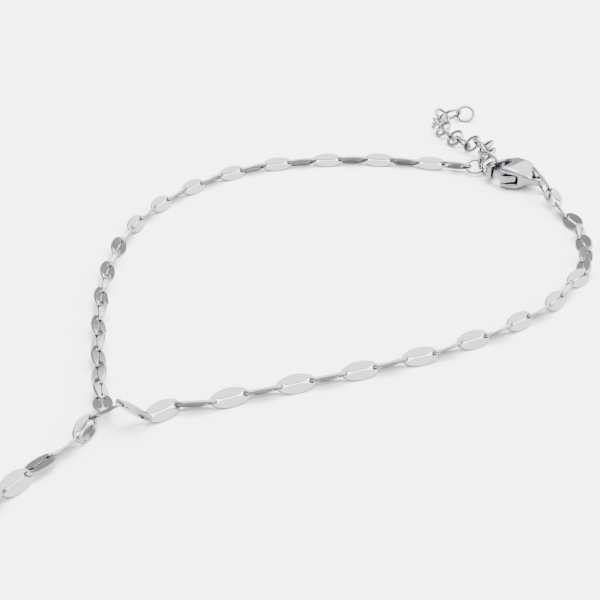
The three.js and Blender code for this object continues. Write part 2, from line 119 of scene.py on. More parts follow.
# Routes of the chain on the table, in link pitches, and for the extender its height in millimetres
LEFT_ROUTE = [
    (-7.01, -8.06), (-7.24, -6.4), (-7.5, -4.43), (-7.72, -2.35), (-7.82, -0.45), (-7.72, 1.56),
    (-7.39, 3.91), (-6.68, 5.79), (-5.66, 7.4), (-4.44, 9), (-2.78, 10.09), (-0.86, 10.58),
    (1.19, 10.85), (3.33, 10.46),
]
RIGHT_ROUTE = [
    (-5.6, -9.33), (-5.17, -9.04), (-3.37, -8.23), (-1.54, -7.39), (0.27, -6.53), (2.04, -5.58),
    (3.65, -4.5), (5.09, -3.29), (6.38, -1.82), (7.57, 0.29), (8.05, 2.07), (8.12, 4.13),
    (7.75, 5.93),
]
FINGER_ROUTE = [
    (-7.27, -10.68), (-7.78, -11.46), (-8.3, -12.4), (-8.8, -13.35), (-9.5, -15.2), (-10.1, -18),
    (-10.4, -21), (-10.6, -24), (-10.6, -27), (-10.5, -31), (-10.4, -36),
]
EXTENDER_ROUTE = [
    (5.6, 11.6, 1.9), (4.9, 12.5, 0.94), (4.3, 13.7, 0.94), (4.05, 14.9, 0.94),
    (4.2, 15.9, 0.94), (4.73, 16.28, 0.94), (5.3, 16.15, 0.94), (7, 16.1, 0.94),
]


class LinkKind(Enum):
    """The three forms of link in the chain."""

    PLAIN = "plain"
    END = "end"
    JUNCTION = "junction"


def linear(hex_colour: str) -> tuple[float, float, float, float]:
    """Turns an sRGB hex colour into linear RGBA.

    Args:
        hex_colour: six hex digits, with or without a leading hash.

    Returns:
        The colour as four linear values with full alpha.
    """
    digits = hex_colour.lstrip("#")
    shares = [int(digits[i:i + 2], 16) / 255 for i in (0, 2, 4)]
    values = [c / 12.92 if c <= 0.04045 else ((c + 0.055) / 1.055) ** 2.4 for c in shares]
    return (values[0], values[1], values[2], 1.0)


def add_node(tree: bpy.types.NodeTree, kind: str, settings: dict, links: dict) -> bpy.types.Node:
    """Adds one shader node with its settings and links.

    Args:
        tree: the material's or world's node tree.
        kind: Blender's type name of the node.
        settings: input names or node properties, and the values they get.
        links: input names, and the output sockets that feed them.

    Returns:
        The new node.
    """
    node = tree.nodes.new(kind)
    for name, value in settings.items():
        if name in node.inputs:
            node.inputs[name].default_value = value
        else:
            setattr(node, name, value)
    for name, source in links.items():
        tree.links.new(source, node.inputs[name])
    return node


def clear_selection() -> None:
    """Leaves object mode with nothing selected."""
    if bpy.context.object and bpy.context.object.mode != "OBJECT":
        bpy.ops.object.mode_set(mode="OBJECT")
    bpy.ops.object.select_all(action="DESELECT")


def select_only(piece: bpy.types.Object) -> None:
    """Selects one object and makes it active.

    Args:
        piece: the object.
    """
    clear_selection()
    piece.select_set(True)
    bpy.context.view_layer.objects.active = piece


def apply_modifier(piece: bpy.types.Object, kind: str, settings: dict) -> None:
    """Adds a modifier to a piece and applies it.

    Args:
        piece: the object that gets it.
        kind: Blender's type name of the modifier.
        settings: its properties and their values.
    """
    select_only(piece)
    modifier = piece.modifiers.new(kind.title(), kind)
    for name, value in settings.items():
        setattr(modifier, name, value)
    bpy.ops.object.modifier_apply(modifier=modifier.name)


def smooth(piece: bpy.types.Object, angle: float) -> None:
    """Shades a piece smooth across edges flatter than an angle in degrees."""
    select_only(piece)
    bpy.ops.object.shade_smooth_by_angle(angle=math.radians(angle))


def recalculate(piece: bpy.types.Object) -> None:
    """Merges doubled points of a piece and turns its faces outwards.

    Args:
        piece: the object that is cleaned.
    """
    select_only(piece)
    bpy.ops.object.mode_set(mode="EDIT")
    bpy.ops.mesh.select_all(action="SELECT")
    bpy.ops.mesh.remove_doubles(threshold=SEAM_MERGE)
    bpy.ops.mesh.normals_make_consistent(inside=False)
    bpy.ops.object.mode_set(mode="OBJECT")


def copy_at(model: bpy.types.Object, place: Matrix) -> bpy.types.Object:
    """Copies a model with its own mesh, placed in that mesh.

    Args:
        model: the object that is repeated.
        place: where the copy stands, in millimetres.

    Returns:
        The copy.
    """
    copy = model.copy()
    copy.data = model.data.copy()
    copy.data.transform(place)
    bpy.context.scene.collection.objects.link(copy)
    return copy


def join(pieces: list[bpy.types.Object], name: str) -> bpy.types.Object:
    """Joins pieces into one object.

    Args:
        pieces: the objects, of which the first takes in the others.
        name: the name of the whole.

    Returns:
        The joined object.
    """
    clear_selection()
    for piece in pieces:
        piece.select_set(True)
    bpy.context.view_layer.objects.active = pieces[0]
    if len(pieces) > 1:
        bpy.ops.object.join()
    pieces[0].name = name
    pieces[0].data.name = name
    return pieces[0]


def fuse(piece: bpy.types.Object, angle: float = SOFT_EDGE) -> None:
    """Fuses a piece's touching parts into one closed body.

    Args:
        piece: the joined links, or a band and its eyelet.
        angle: edges flatter than this, in degrees, are shaded smooth.
    """
    select_only(piece)
    bpy.ops.object.mode_set(mode="EDIT")
    bpy.ops.mesh.select_all(action="SELECT")
    bpy.ops.mesh.intersect_boolean(operation="UNION", use_self=True, solver="EXACT")
    bpy.ops.object.mode_set(mode="OBJECT")
    smooth(piece, angle)


def remove(piece: bpy.types.Object) -> None:
    """Takes a model that has served its copies out of the scene."""
    bpy.data.objects.remove(piece)


def to_row(piece: bpy.types.Object, shift: Vector) -> None:
    """Moves a mesh from the route's millimetres to the row frame's metres."""
    piece.data.transform(Matrix.Scale(MM, 4) @ Matrix.Translation(shift))


def dress(
    piece: bpy.types.Object, material: bpy.types.Material, body: str, node: str
) -> None:
    """Gives a finished piece its material and CAD body, and hides the CAD node that it stands for.

    Args:
        piece: the finished object.
        material: its finish.
        body: the CAD body that it rides on.
        node: the CAD node that it replaces.
    """
    piece.data.materials.clear()
    piece.data.materials.append(material)
    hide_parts(node)
    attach(piece, body)
    LOG.info("%s: %d faces", piece.name, len(piece.data.polygons))


@dataclass(frozen=True)
class PolishedSteel:
    """Stainless steel, pressed or drawn and then tumbled to a mirror.

    The tumbling leaves a bright face with faint cloudy variation and very fine rubbing marks, so
    reflections stay sharp but are a little softened here and there.
    """

    name: str
    colour: str = "828384"
    cloud_mm: float = 1.4
    rub_mm: float = 0.09
    roughness_low: float = 0.1
    roughness_high: float = 0.2
    rub_depth_mm: float = 0.0012
    rub_strength: float = 0.25
    cloud_shade: float = 0.93

    def build(self) -> bpy.types.Material:
        """Makes the material.

        Returns:
            The node-based material.
        """
        material = bpy.data.materials.new(self.name)
        material.use_nodes = True
        tree = material.node_tree
        tree.nodes.clear()
        place = add_node(tree, "ShaderNodeTexCoord", {}, {})
        # cloudy patches of the tumbled polish, which soften the reflection here and there
        cloud = add_node(
            tree, "ShaderNodeTexNoise",
            {"Scale": 1 / (self.cloud_mm * MM), "Detail": 3.0, "Roughness": 0.55},
            {"Vector": place.outputs["Object"]},
        )
        roughness = add_node(
            tree, "ShaderNodeMapRange",
            {"From Min": 0.3, "From Max": 0.7, "To Min": self.roughness_low,
             "To Max": self.roughness_high},
            {"Value": cloud.outputs["Fac"]},
        )
        bright = linear(self.colour)
        dark = tuple(c * self.cloud_shade for c in bright[:3]) + (1.0,)
        tint = add_node(
            tree, "ShaderNodeMix", {"data_type": "RGBA"}, {"Factor": cloud.outputs["Fac"]},
        )
        tint.inputs[6].default_value = bright
        tint.inputs[7].default_value = dark
        # rubbing marks left by the polishing media, which break up a highlight's edge
        rub = add_node(
            tree, "ShaderNodeTexNoise",
            {"Scale": 1 / (self.rub_mm * MM), "Detail": 2.0, "Roughness": 0.6},
            {"Vector": place.outputs["Object"]},
        )
        bump = add_node(
            tree, "ShaderNodeBump",
            {"Strength": self.rub_strength, "Distance": self.rub_depth_mm * MM},
            {"Height": rub.outputs["Fac"]},
        )
        shader = add_node(
            tree, "ShaderNodeBsdfPrincipled", {"Metallic": 1.0},
            {"Base Color": tint.outputs[2], "Roughness": roughness.outputs["Result"],
             "Normal": bump.outputs["Normal"]},
        )
        add_node(tree, "ShaderNodeOutputMaterial", {}, {"Surface": shader.outputs["BSDF"]})
        return material


@dataclass(frozen=True)
class MattPaper:
    """Matt white board under the jewel: even, with a barely visible tooth."""

    name: str
    colour: str = "cdcdcd"
    tooth_mm: float = 0.6
    tooth_depth_mm: float = 0.02
    tooth_strength: float = 0.03
    roughness: float = 0.9
    specular: float = 0.1

    def build(self) -> bpy.types.Material:
        """Makes the material.

        Returns:
            The node-based material.
        """
        material = bpy.data.materials.new(self.name)
        material.use_nodes = True
        tree = material.node_tree
        tree.nodes.clear()
        place = add_node(tree, "ShaderNodeTexCoord", {}, {})
        tooth = add_node(
            tree, "ShaderNodeTexNoise", {"Scale": 1 / (self.tooth_mm * MM), "Detail": 2.0},
            {"Vector": place.outputs["Object"]},
        )
        bump = add_node(
            tree, "ShaderNodeBump",
            {"Strength": self.tooth_strength, "Distance": self.tooth_depth_mm * MM},
            {"Height": tooth.outputs["Fac"]},
        )
        shader = add_node(
            tree, "ShaderNodeBsdfPrincipled",
            {"Base Color": linear(self.colour), "Roughness": self.roughness,
             "Specular IOR Level": self.specular},
            {"Normal": bump.outputs["Normal"]},
        )
        add_node(tree, "ShaderNodeOutputMaterial", {}, {"Surface": shader.outputs["BSDF"]})
        return material


@dataclass(frozen=True)
class Station:
    """One section of a link, from its tip (0) to its middle (6), in shares of the link's sizes.

    The outer edge is a share of the half length and half width, the inner edge one of the half
    length of the hole and of the eye's half width, and thick is a share of the wire.
    """

    out_along: float
    out_side: float
    in_along: float
    eye: float
    slot: float
    thick: float


PLAIN_FORM = (
    Station(1.0, 0.0, 1.0, 0.0, 0.0, 0.92),
    Station(0.985, 0.19, 0.975, 0.55, 0.0, 0.92),
    Station(0.93, 0.39, 0.9, 0.95, 0.0, 0.9),
    Station(0.8, 0.6, 0.74, 0.66, 0.0, 0.8),
    Station(0.6, 0.785, 0.53, 0.0, 1.0, 0.72),
    Station(0.32, 0.94, 0.27, 0.0, 1.0, 0.7),
    Station(0.0, 1.0, 0.0, 0.0, 1.0, 0.68),
)
END_FORM = (
    Station(1.0, 0.0, 1.0, 0.0, 0.0, 0.92),
    Station(0.98, 0.23, 0.97, 0.6, 0.0, 0.92),
    Station(0.91, 0.46, 0.87, 1.0, 0.0, 0.92),
    Station(0.76, 0.68, 0.67, 1.0, 0.0, 0.85),
    Station(0.54, 0.85, 0.46, 0.3, 0.6, 0.75),
    Station(0.28, 0.96, 0.24, 0.0, 1.0, 0.7),
    Station(0.0, 1.0, 0.0, 0.0, 1.0, 0.68),
)
JUNCTION_FORM = (
    Station(1.0, 0.0, 1.0, 0.0, 0.0, 0.92),
    Station(0.99, 0.3, 0.985, 0.6, 0.0, 0.92),
    Station(0.93, 0.62, 0.93, 1.2, 0.0, 0.92),
    Station(0.78, 0.81, 0.78, 1.5, 0.0, 0.9),
    Station(0.55, 0.91, 0.55, 1.55, 0.0, 0.86),
    Station(0.28, 0.98, 0.28, 1.55, 0.0, 0.84),
    Station(0.0, 1.0, 0.0, 1.55, 0.0, 0.82),
)


LINK_FORMS = {
    LinkKind.PLAIN: (PLAIN_FORM, EYE_WIDTH),
    LinkKind.END: (END_FORM, END_EYE_WIDTH),
    LinkKind.JUNCTION: (JUNCTION_FORM, END_EYE_WIDTH),
}


@dataclass
class LipLink:
    """One link: an oval of wire whose sides are pressed into two flat lobes.

    It starts as a torus. Sections thinner than plate_below are pressed: their face corners and
    edge corners move from the section's middle by shares, in the link's plane and across it.
    """

    kind: LinkKind
    form: tuple[Station, ...]
    eye_width: float
    sides: int = 12
    start_radius: float = 1.0
    start_wire: float = 0.1
    plate_below: float = 0.88
    face_corners: tuple[tuple[int, ...], tuple[float, float]] = ((2, 4, 8, 10), (1.88, 1.155))
    edge_corners: tuple[tuple[int, ...], tuple[float, float]] = ((1, 5, 7, 11), (1.155, 1.24))

    def section(self, number: int) -> tuple[Vector, Vector, float]:
        """The outer edge, inner edge and half thickness of one section.

        Args:
            number: the section's number round the link, counted from its tip.

        Returns:
            The two edge points and the half thickness, in millimetres.
        """
        quarter = len(self.form) - 1
        lap, rest = divmod(number, quarter)
        station = self.form[rest if lap % 2 == 0 else quarter - rest]
        x = 1 if lap in (0, 3) else -1
        y = 1 if lap in (0, 1) else -1
        if lap % 2 == 1 and rest == 0:
            x = 0
        if lap == 2 and rest == 0:
            y = 0
        hole = LINK_LENGTH / 2 - WIRE
        inner_side = station.eye * self.eye_width / 2 + station.slot * SLOT_WIDTH / 2
        outer = Vector((x * station.out_along * LINK_LENGTH / 2,
                        y * station.out_side * LINK_WIDTH / 2, 0))
        inner = Vector((x * station.in_along * hole, y * inner_side, 0))
        return outer, inner, station.thick * WIRE / 2

    def select_points(
        self, mesh: bmesh.types.BMesh, number: int, corners: Iterable[int]
    ) -> None:
        """Selects only the given points of one section.

        Args:
            mesh: the open edit mesh.
            number: the section's number.
            corners: the points' numbers, counted round the section.
        """
        mesh.verts.ensure_lookup_table()
        for vertex in mesh.verts:
            vertex.select = False
        for corner in corners:
            mesh.verts[number * self.sides + corner].select = True
        mesh.select_flush(True)

    def shape_section(self, mesh: bmesh.types.BMesh, number: int, count: int) -> None:
        """Resizes one section of the wire and moves it to its place.

        Args:
            mesh: the open edit mesh.
            number: the section's number.
            count: how many sections there are.
        """
        outer, inner, half = self.section(number)
        self.select_points(mesh, number, range(self.sides))
        turn = 2 * math.pi * number / count
        out = Vector((math.cos(turn), math.sin(turn), 0))
        middle = (outer + inner) / 2
        reach = (outer - inner) / 2
        size = [
            reach[i] / (out[i] * self.start_wire) if abs(out[i]) > NO_SHARE else 1.0
            for i in (0, 1)
        ]
        bpy.ops.transform.resize(
            value=(size[0], size[1], half / self.start_wire),
            center_override=out * self.start_radius,
        )
        bpy.ops.transform.translate(value=middle - out * self.start_radius)
        if half < self.plate_below * WIRE / 2:
            for corners, share in (self.face_corners, self.edge_corners):
                self.press(mesh, number, middle, corners, share)

    def press(
        self, mesh: bmesh.types.BMesh, number: int, middle: Vector, corners: tuple[int, ...],
        share: tuple[float, float],
    ) -> None:
        """Presses a lobe's section nearer to a rectangle, flat between its rounded edges.

        Args:
            mesh: the open edit mesh.
            number: the section's number.
            middle: the section's middle.
            corners: which of the section's points move, counted round it.
            share: how far they move from the middle, in the link's plane and across it.
        """
        self.select_points(mesh, number, corners)
        bpy.ops.transform.resize(value=(share[0], share[0], share[1]), center_override=middle)

    def build(self) -> bpy.types.Object:
        """Makes the link, lying flat and along X, its centre at the origin.

        Returns:
            The model that the strand copies.
        """
        clear_selection()
        count = 4 * (len(self.form) - 1)
        bpy.ops.mesh.primitive_torus_add(
            major_segments=count, minor_segments=self.sides, major_radius=self.start_radius,
            minor_radius=self.start_wire, location=(0, 0, 0),
        )
        link = bpy.context.object
        link.name = f"link_{self.kind.value}"
        bpy.ops.object.mode_set(mode="EDIT")
        bpy.context.tool_settings.mesh_select_mode = (True, False, False)
        mesh = bmesh.from_edit_mesh(link.data)
        for number in range(count):
            self.shape_section(mesh, number, count)
        self.crease(mesh)
        bpy.ops.object.mode_set(mode="OBJECT")
        apply_modifier(link, "SUBSURF", {"levels": 1, "render_levels": 1})
        smooth(link, SOFT_EDGE)
        return link

    def crease(self, mesh: bmesh.types.BMesh) -> None:
        """Creases the lines that run round the link, so that only its outline is softened.

        Args:
            mesh: the open edit mesh.
        """
        bpy.context.tool_settings.mesh_select_mode = (False, True, False)
        mesh.edges.ensure_lookup_table()
        for edge in mesh.edges:
            near, far = (vertex.index // self.sides for vertex in edge.verts)
            edge.select = near != far
        mesh.select_flush_mode()
        bpy.ops.transform.edge_crease(value=1.0)


@dataclass
class RoundRing:
    """A round ring of wire, its axis along Z."""

    outer: float
    wire: float
    steps: int = 40
    sides: int = 12

    @property
    def radius(self) -> float:
        """Radius of the wire's middle line."""
        return (self.outer - self.wire) / 2

    def build(self) -> bpy.types.Object:
        """Makes the ring at the origin.

        Returns:
            The ring, smooth all over.
        """
        clear_selection()
        bpy.ops.mesh.primitive_torus_add(
            major_segments=self.steps, minor_segments=self.sides, major_radius=self.radius,
            minor_radius=self.wire / 2, location=(0, 0, 0),
        )
        ring = bpy.context.object
        smooth(ring, EVERY_EDGE)
        return ring


def leaning_frame(centre: Vector, along: Vector, roll: float) -> Matrix:
    """The frame of a piece whose X is along a direction and whose face leans sideways.

    Args:
        centre: the piece's middle.
        along: the direction of its X.
        roll: how far its face leans to the left of that direction, in degrees.

    Returns:
        The placing matrix.
    """
    x = along.normalized()
    side = Vector((-x.y, x.x, 0)).normalized()
    top = x.cross(side)
    z = top * math.cos(math.radians(roll)) + side * math.sin(math.radians(roll))
    y = z.cross(x)
    return basis(x, y, z, centre)


def basis(x: Vector, y: Vector, z: Vector, centre: Vector) -> Matrix:
    """A placing matrix from three axes and a centre."""
    columns = Matrix((x, y, z)).transposed().to_4x4()
    return Matrix.Translation(centre) @ columns


def on_table(point: tuple[float, ...], height: float = LINK_AXIS) -> Vector:
    """A route point as a place over the table."""
    return Vector((point[0] * PITCH, point[1] * PITCH, height))


def spread(path: list[Vector], spans: list[float]) -> list[list[float]]:
    """Spreads a strand's bars along its path, in the proportions of its spans.

    Args:
        path: the points that the strand passes, with both ends.
        spans: the length from each bar to the next.

    Returns:
        The bars' coordinates, one bar more than there are spans.
    """
    reached = [0.0]
    for near, far in zip(path, path[1:]):
        reached.append(reached[-1] + (far - near).length)
    joints = []
    travelled = 0.0
    for span in [*spans, 0.0]:
        wanted = travelled / sum(spans) * reached[-1]
        leg = 1
        while leg < len(path) - 1 and reached[leg] < wanted:
            leg += 1
        share = (wanted - reached[leg - 1]) / (reached[leg] - reached[leg - 1])
        joints.append(list(path[leg - 1].lerp(path[leg], share)))
        travelled += span
    return joints


def settle(route: list[Vector], links: int, start: Vector, end: Vector) -> list[Vector]:
    """Lays a strand of links along its route between two fixed ends.

    Args:
        route: points that the strand passes.
        links: how many links it has.
        start: the first link's near bar.
        end: the last link's far bar.

    Returns:
        The bars that the links hang on, one more than there are links.
    """
    spans = [PITCH] * (links - 1) + [REACH]
    joints = spread([start, *route, end], spans)
    for _ in range(SETTLE_ROUNDS):
        for i, span in enumerate(spans):
            a, b = joints[i], joints[i + 1]
            level = math.sqrt(span * span - (b[2] - a[2]) ** 2)
            run = math.hypot(b[0] - a[0], b[1] - a[1])
            share_a = 0.0 if i == 0 else 1.0
            share_b = 0.0 if i == links - 1 else 1.0
            each = (run - level) / run / (share_a + share_b)
            dx, dy = (b[0] - a[0]) * each, (b[1] - a[1]) * each
            a[0] += dx * share_a
            a[1] += dy * share_a
            b[0] -= dx * share_b
            b[1] -= dy * share_b
    return [Vector(joint) for joint in joints]


def follow(path: list[Vector], pieces: int, pitch: float) -> list[Vector]:
    """Follows a route from its start with links or rings of one pitch and no fixed end.

    Args:
        path: the route's points.
        pieces: how many links or rings follow it.
        pitch: the length that each takes up.

    Returns:
        The bars, one more than there are pieces.
    """
    joints = [path[0].copy()]
    leg, share = 1, 0.0
    for _ in range(pieces):
        origin = joints[-1]
        point = path[leg - 1].lerp(path[leg], share)
        while (point - origin).length < pitch:
            share += FOLLOW_STEP
            if share >= 1:
                share, leg = 0.0, min(leg + 1, len(path) - 1)
            point = path[leg - 1].lerp(path[leg], share)
        joints.append(origin + (point - origin).normalized() * pitch)
    return joints


@dataclass
class ClaspPlan:
    """Where the clasp, its rings and the extender lie."""

    place: tuple[float, float] = (5.55, 9.67)
    turn: float = -42.0
    length: float = 8.2
    thickness: float = 2.8
    eye_hole: float = 1.2
    eye_rim: float = 0.4
    clasp_ring: RoundRing = field(default_factory=lambda: RoundRing(3.2, 0.4))
    end_ring: RoundRing = field(default_factory=lambda: RoundRing(2.5, 0.38))
    jump_ring: RoundRing = field(default_factory=lambda: RoundRing(4.3, 0.42))
    extender_ring: RoundRing = field(default_factory=lambda: RoundRing(2.6, 0.42, 28, 10))
    end_ring_top: tuple[float, float, float] = (-0.1, -0.45, 0.9)
    end_ring_towards: tuple[float, float, float] = (0.93, -0.37, 0)
    hang_share: float = 0.5
    left_pull: tuple[float, float, float] = (-1, 0.1, 0)
    jump_away: tuple[float, float, float] = (0.3, -1, 0)
    jump_rise: tuple[float, float, float] = (-0.5, 0, 0.85)
    grip_turn: float = 20.0

    def __post_init__(self) -> None:
        """Works out the frames of the clasp and its rings."""
        turned = Matrix.Rotation(math.radians(self.turn), 4, "Z")
        self.frame = Matrix.Translation(on_table(self.place, self.thickness / 2)) @ turned
        self.along = turned @ Vector((1, 0, 0))
        self.clasp_ring_centre = self.frame @ Vector((0, 0, 0))
        self.clasp_ring_centre.z = self.clasp_ring.outer / 2

    def clasp_ring_frame(self) -> Matrix:
        """The ring round the nose stands with its face along the clasp."""
        return basis(self.along, UP, self.along.cross(UP), self.clasp_ring_centre)

    def end_ring_frame(self) -> Matrix:
        """The end ring hangs on the clasp ring and leans to the front.

        Returns:
            The ring's placing matrix.
        """
        top = Vector(self.end_ring_top).normalized()
        towards = Vector(self.end_ring_towards)
        towards = (towards - top * towards.dot(top)).normalized()
        drop = self.hang_share * self.clasp_ring.radius
        hang = self.clasp_ring_centre + self.along * -drop
        hang.z -= drop
        centre = hang - towards * self.end_ring.radius
        return basis(towards, top.cross(towards), top, centre)

    def left_end(self) -> Vector:
        """The bar of the left strand's last link, inside the end ring.

        Returns:
            The bar's middle, in millimetres.
        """
        place = self.end_ring_frame()
        top = place.to_3x3().col[2]
        away = Vector(self.left_pull)
        away = (away - top * away.dot(top)).normalized()
        grip = self.end_ring.radius - (self.end_ring.wire + WIRE) / 2 - GAP
        return place.translation + away * grip

    def jump_axes(self) -> tuple[Vector, Vector, Vector]:
        """The jump ring's two directions in its plane, and its centre.

        Returns:
            The level direction away from the clasp, the one that rises, and the centre.
        """
        away = Vector(self.jump_away).normalized()
        rise = Vector(self.jump_rise)
        rise = (rise - away * rise.dot(away)).normalized()
        height = self.jump_ring.radius * rise.z + self.jump_ring.wire / 2
        drop = (height - self.thickness / 2) / rise.z
        out = math.sqrt(self.jump_ring.radius ** 2 - drop ** 2)
        eye = self.frame @ Vector((self.length - self.eye_hole / 2 - self.eye_rim, 0, 0))
        return away, rise, eye + away * out + rise * drop

    def jump_ring_frame(self) -> Matrix:
        """The jump ring stands on the table, a little aslant."""
        away, rise, centre = self.jump_axes()
        return basis(away, rise, away.cross(rise), centre)

    def right_end(self) -> Vector:
        """The bar of the right strand's last link, inside the jump ring.

        Returns:
            The bar's middle, in millimetres.
        """
        away, rise, centre = self.jump_axes()
        grip = self.jump_ring.radius - (self.jump_ring.wire + WIRE) / 2 - GAP
        down = math.radians(self.grip_turn)
        return centre + away * (grip * math.cos(down)) - rise * (grip * math.sin(down))


@dataclass
class JunctionPlan:
    """Where the junction link lies and where the three strands hang on it."""

    place: tuple[float, float] = (-6.62, -9.57)
    lift: float = 0.85
    turn: float = -6.0
    rise: float = 32.0
    lean: float = 20.0
    left_share: float = 0.3
    finger_share: float = -0.12
    right_pull: tuple[float, float, float] = (0.7, 0.3, -0.65)

    def __post_init__(self) -> None:
        """Works out the link's frame and how far from its middle a strand hangs in it."""
        turn, rise = math.radians(self.turn), math.radians(self.rise)
        along = Vector((
            math.cos(turn) * math.cos(rise), math.sin(turn) * math.cos(rise), math.sin(rise)
        ))
        centre = on_table(self.place, LINK_AXIS + self.lift)
        self.frame = leaning_frame(centre, along, self.lean)
        self.hung = REACH / 2 - WIRE - GAP

    def at(self, x: float, y: float) -> Vector:
        """A point of the junction link's own plane."""
        return self.frame @ Vector((x, y, 0))

    def left_start(self) -> Vector:
        """Where the left strand begins."""
        return self.at(-self.hung + 2 * WIRE + 2 * GAP, END_EYE_WIDTH * self.left_share)

    def right_start(self) -> Vector:
        """Where the right strand begins."""
        return self.at(REACH / 2, 0) + Vector(self.right_pull) * (-WIRE - GAP)

    def finger_start(self) -> Vector:
        """Where the finger strand begins."""
        return self.at(-self.hung, END_EYE_WIDTH * self.finger_share)


@dataclass
class Strand:
    """A strand of lip links, each leaning the other way from the one before."""

    name: str
    joints: list[Vector]
    leans: tuple[float, float]
    rolls: dict[int, float]

    def build(self, models: dict[LinkKind, bpy.types.Object]) -> list[bpy.types.Object]:
        """Copies the link models along the strand.

        Args:
            models: the finished link of each kind.

        Returns:
            The placed links.
        """
        links = len(self.joints) - 1
        placed = []
        for i in range(links):
            along = (self.joints[i + 1] - self.joints[i]).normalized()
            centre = self.joints[i] + along * (REACH / 2)
            roll = self.rolls.get(i, self.leans[i % 2])
            kind = LinkKind.END if i in (0, links - 1) else LinkKind.PLAIN
            placed.append(copy_at(models[kind], leaning_frame(centre, along, roll)))
        return placed


@dataclass
class FingerRing:
    """The plain band on its side, with the soldered eyelet that the strand ends in."""

    bore: float = 17.0
    thickness: float = 1.3
    height: float = 2.2
    steps: int = 96
    profile_points: int = 20
    inside_power: float = 0.35
    crown_power: float = 0.62
    eyelet: RoundRing = field(default_factory=lambda: RoundRing(2.2, 0.36, 32, 12))

    def band(self) -> bpy.types.Object:
        """Turns the band: a section with a flat inside and a crowned outside, spun round.

        Returns:
            The band, its axis along Z and its foot at the origin.
        """
        clear_selection()
        middle = Vector((self.bore / 2 + self.thickness / 2, 0, self.height / 2))
        bpy.ops.mesh.primitive_circle_add(
            vertices=self.profile_points, radius=1.0, fill_type="NOTHING",
            location=(0, 0, 0), rotation=(math.radians(90), 0, 0),
        )
        band = bpy.context.object
        bpy.ops.object.transform_apply(location=True, rotation=True, scale=True)
        for vertex in band.data.vertices:
            x, z = vertex.co.x, vertex.co.z
            # the inside is flat with soft corners, the outside a low crown
            power = self.inside_power if x < 0 else self.crown_power
            x = math.copysign(abs(x) ** power, x)
            z = math.copysign(abs(z) ** self.crown_power, z)
            vertex.co = middle + Vector((x * self.thickness / 2, 0, z * self.height / 2))
        bpy.ops.object.mode_set(mode="EDIT")
        bpy.ops.mesh.select_all(action="SELECT")
        bpy.ops.mesh.spin(
            steps=self.steps, angle=2 * math.pi, center=(0, 0, 0), axis=(0, 0, 1),
        )
        bpy.ops.object.mode_set(mode="OBJECT")
        recalculate(band)
        smooth(band, BAND_EDGE)
        return band

    def build(self, last_joint: Vector, along: Vector) -> list[bpy.types.Object]:
        """Places the band and its eyelet at the end of the finger strand.

        Args:
            last_joint: the near bar of the strand's last link.
            along: the level direction in which the strand ends.

        Returns:
            The band and the eyelet.
        """
        grip = self.eyelet.radius - (self.eyelet.wire + WIRE) / 2 - GAP
        centre = last_joint + along * (REACH + grip)
        centre.z = self.height / 2
        eyelet = self.eyelet.build()
        eyelet.data.transform(basis(along, UP, along.cross(UP), centre))
        out = self.eyelet.outer / 2 + self.bore / 2 + self.thickness - self.eyelet.wire
        band_centre = centre + along * out
        band = self.band()
        band.data.transform(Matrix.Translation((band_centre.x, band_centre.y, 0)))
        return [band, eyelet]


@dataclass
class CastShell:
    """A hard piece whose CAD form is kept, with every edge rounded as casting and tumbling do.

    The grain is the size of the new mesh in millimetres, and the rounds say how often it is
    smoothed.
    """

    node: str
    body: str
    grain: float
    rounds: int

    def build(self) -> bpy.types.Object:
        """Copies the CAD node, merges it and rounds its edges.

        Returns:
            The rounded copy.
        """
        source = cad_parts[self.node]
        shell = source.copy()
        shell.data = source.data.copy()
        for key in list(shell.keys()):
            del shell[key]
        shell.parent = None
        shell.name = f"{self.node}_polished"
        bpy.context.scene.collection.objects.link(shell)
        shell.hide_render = False
        shell.data.transform(Matrix.Scale(1 / MM, 4))
        select_only(shell)
        bpy.ops.object.mode_set(mode="EDIT")
        bpy.ops.mesh.select_all(action="SELECT")
        bpy.ops.mesh.remove_doubles(threshold=SHELL_MERGE)
        bpy.ops.object.mode_set(mode="OBJECT")
        apply_modifier(
            shell, "REMESH", {"mode": "VOXEL", "voxel_size": self.grain, "adaptivity": 0.0}
        )
        apply_modifier(shell, "SMOOTH", {"factor": 0.5, "iterations": self.rounds})
        smooth(shell, EVERY_EDGE)
        shell.data.transform(Matrix.Scale(MM, 4))
        return shell


